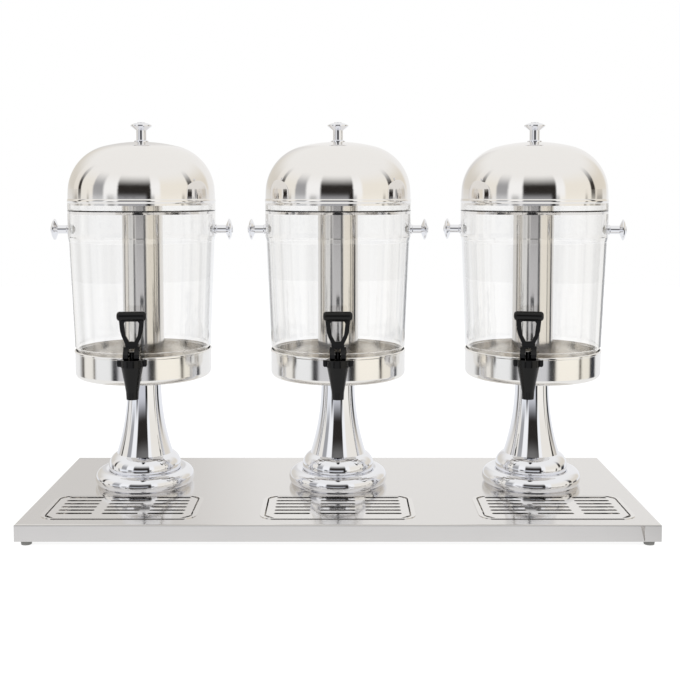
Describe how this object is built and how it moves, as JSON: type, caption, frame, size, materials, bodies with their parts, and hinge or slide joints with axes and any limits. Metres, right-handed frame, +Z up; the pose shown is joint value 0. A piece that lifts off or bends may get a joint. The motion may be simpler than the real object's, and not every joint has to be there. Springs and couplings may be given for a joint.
{
  "type": "juice dispenser",
  "caption": "Countertop juice dispenser: domed clear containers with ice tubes and push-lever taps on pedestals over drip pans.",
  "frame": {"origin": "centre of the overall box at floor level, under the feet", "axes": "+X along the tray, -Y towards the user and the taps, +Z up"},
  "size_m": [0.87, 0.36, 0.5803],
  "materials": {
    "satin_stainless": "satin",
    "polished_stainless": "polished",
    "mirror_stainless": "mirror polished",
    "chrome_plate": "bright chrome",
    "clear_polycarbonate": "clear moulded",
    "black_nylon": "semi-gloss moulded",
    "grey_rubber": "matte",
    "clear_silicone": "translucent",
    "zinc_steel": "zinc plated",
    "spring_steel": "bright drawn"
  },
  "bodies": {
    "stand": {"base_tray": "satin_stainless", "tray_feet": "grey_rubber", "tie_bolts": "zinc_steel", "left_pedestal": "chrome_plate", "left_base_pan": "polished_stainless", "middle_pedestal": "chrome_plate", "middle_base_pan": "polished_stainless", "right_pedestal": "chrome_plate", "right_base_pan": "polished_stainless"},
    "left_container": {"left_container": "clear_polycarbonate", "left_side_knobs": "chrome_plate", "left_knob_screws": "zinc_steel", "left_tap_body": "black_nylon", "left_tap_bonnet": "black_nylon", "left_shank_nut": "black_nylon", "left_seal_washers": "clear_silicone"},
    "left_lid": {"left_dome_lid": "mirror_stainless", "left_lid_knob": "chrome_plate"},
    "left_ice_tube": {"left_ice_tube": "polished_stainless"},
    "left_tap_stem": {"left_tap_stem": "black_nylon", "left_seat_cup": "clear_silicone", "left_lever_pin": "spring_steel", "left_tap_spring": "spring_steel"},
    "left_tap_lever": {"left_tap_lever": "black_nylon"},
    "left_drip_pan": {"left_drip_pan": "satin_stainless"},
    "left_drip_grille": {"left_drip_grille": "satin_stainless"},
    "middle_container": {"middle_container": "clear_polycarbonate", "middle_side_knobs": "chrome_plate", "middle_knob_screws": "zinc_steel", "middle_tap_body": "black_nylon", "middle_tap_bonnet": "black_nylon", "middle_shank_nut": "black_nylon", "middle_seal_washers": "clear_silicone"},
    "middle_lid": {"middle_dome_lid": "mirror_stainless", "middle_lid_knob": "chrome_plate"},
    "middle_ice_tube": {"middle_ice_tube": "polished_stainless"},
    "middle_tap_stem": {"middle_tap_stem": "black_nylon", "middle_seat_cup": "clear_silicone", "middle_lever_pin": "spring_steel", "middle_tap_spring": "spring_steel"},
    "middle_tap_lever": {"middle_tap_lever": "black_nylon"},
    "middle_drip_pan": {"middle_drip_pan": "satin_stainless"},
    "middle_drip_grille": {"middle_drip_grille": "satin_stainless"},
    "right_container": {"right_container": "clear_polycarbonate", "right_side_knobs": "chrome_plate", "right_knob_screws": "zinc_steel", "right_tap_body": "black_nylon", "right_tap_bonnet": "black_nylon", "right_shank_nut": "black_nylon", "right_seal_washers": "clear_silicone"},
    "right_lid": {"right_dome_lid": "mirror_stainless", "right_lid_knob": "chrome_plate"},
    "right_ice_tube": {"right_ice_tube": "polished_stainless"},
    "right_tap_stem": {"right_tap_stem": "black_nylon", "right_seat_cup": "clear_silicone", "right_lever_pin": "spring_steel", "right_tap_spring": "spring_steel"},
    "right_tap_lever": {"right_tap_lever": "black_nylon"},
    "right_drip_pan": {"right_drip_pan": "satin_stainless"},
    "right_drip_grille": {"right_drip_grille": "satin_stainless"}
  },
  "joints": [
    {"name": "left_container_lift", "type": "slide", "parent": "stand", "child": "left_container", "axis": [0, 0, 1], "range_m": [0, 0.06]},
    {"name": "left_lid_lift", "type": "slide", "parent": "left_container", "child": "left_lid", "axis": [0, 0, 1], "range_m": [0, 0.14]},
    {"name": "left_ice_tube_lift", "type": "slide", "parent": "left_container", "child": "left_ice_tube", "axis": [0, 0, 1], "range_m": [0, 0.05]},
    {"name": "left_stem_lift", "type": "slide", "parent": "left_container", "child": "left_tap_stem", "axis": [0, 0, 1], "range_m": [0, 0.005], "stiffness_N_per_m": 700, "springref_m": -0.008, "deforming": ["left_tap_spring"]},
    {"name": "left_lever_tilt", "type": "hinge", "parent": "left_tap_stem", "child": "left_tap_lever", "pos_m": [-0.28876, -0.10075, 0.248], "axis": [0.9981, 0.061, 0], "range_deg": [0, 45]},
    {"name": "left_drip_pan_lift", "type": "slide", "parent": "stand", "child": "left_drip_pan", "axis": [0, 0, 1], "range_m": [0, 0.04]},
    {"name": "left_drip_grille_lift", "type": "slide", "parent": "left_drip_pan", "child": "left_drip_grille", "axis": [0, 0, 1], "range_m": [0, 0.03]},
    {"name": "middle_container_lift", "type": "slide", "parent": "stand", "child": "middle_container", "axis": [0, 0, 1], "range_m": [0, 0.06]},
    {"name": "middle_lid_lift", "type": "slide", "parent": "middle_container", "child": "middle_lid", "axis": [0, 0, 1], "range_m": [0, 0.14]},
    {"name": "middle_ice_tube_lift", "type": "slide", "parent": "middle_container", "child": "middle_ice_tube", "axis": [0, 0, 1], "range_m": [0, 0.05]},
    {"name": "middle_stem_lift", "type": "slide", "parent": "middle_container", "child": "middle_tap_stem", "axis": [0, 0, 1], "range_m": [0, 0.005], "stiffness_N_per_m": 700, "springref_m": -0.008, "deforming": ["middle_tap_spring"]},
    {"name": "middle_lever_tilt", "type": "hinge", "parent": "middle_tap_stem", "child": "middle_tap_lever", "pos_m": [0, -0.101, 0.248], "axis": [1, 0, 0], "range_deg": [0, 45]},
    {"name": "middle_drip_pan_lift", "type": "slide", "parent": "stand", "child": "middle_drip_pan", "axis": [0, 0, 1], "range_m": [0, 0.04]},
    {"name": "middle_drip_grille_lift", "type": "slide", "parent": "middle_drip_pan", "child": "middle_drip_grille", "axis": [0, 0, 1], "range_m": [0, 0.03]},
    {"name": "right_container_lift", "type": "slide", "parent": "stand", "child": "right_container", "axis": [0, 0, 1], "range_m": [0, 0.06]},
    {"name": "right_lid_lift", "type": "slide", "parent": "right_container", "child": "right_lid", "axis": [0, 0, 1], "range_m": [0, 0.14]},
    {"name": "right_ice_tube_lift", "type": "slide", "parent": "right_container", "child": "right_ice_tube", "axis": [0, 0, 1], "range_m": [0, 0.05]},
    {"name": "right_stem_lift", "type": "slide", "parent": "right_container", "child": "right_tap_stem", "axis": [0, 0, 1], "range_m": [0, 0.005], "stiffness_N_per_m": 700, "springref_m": -0.008, "deforming": ["right_tap_spring"]},
    {"name": "right_lever_tilt", "type": "hinge", "parent": "right_tap_stem", "child": "right_tap_lever", "pos_m": [0.26778, -0.0978, 0.248], "axis": [0.9763, -0.2164, 0], "range_deg": [0, 45]},
    {"name": "right_drip_pan_lift", "type": "slide", "parent": "stand", "child": "right_drip_pan", "axis": [0, 0, 1], "range_m": [0, 0.04]},
    {"name": "right_drip_grille_lift", "type": "slide", "parent": "right_drip_pan", "child": "right_drip_grille", "axis": [0, 0, 1], "range_m": [0, 0.03]}
  ],
  "couplings": [
    {"joint": "left_lever_tilt", "follows": "left_stem_lift", "rad_per_m": 157.08},
    {"joint": "middle_lever_tilt", "follows": "middle_stem_lift", "rad_per_m": 157.08},
    {"joint": "right_lever_tilt", "follows": "right_stem_lift", "rad_per_m": 157.08}
  ]
}
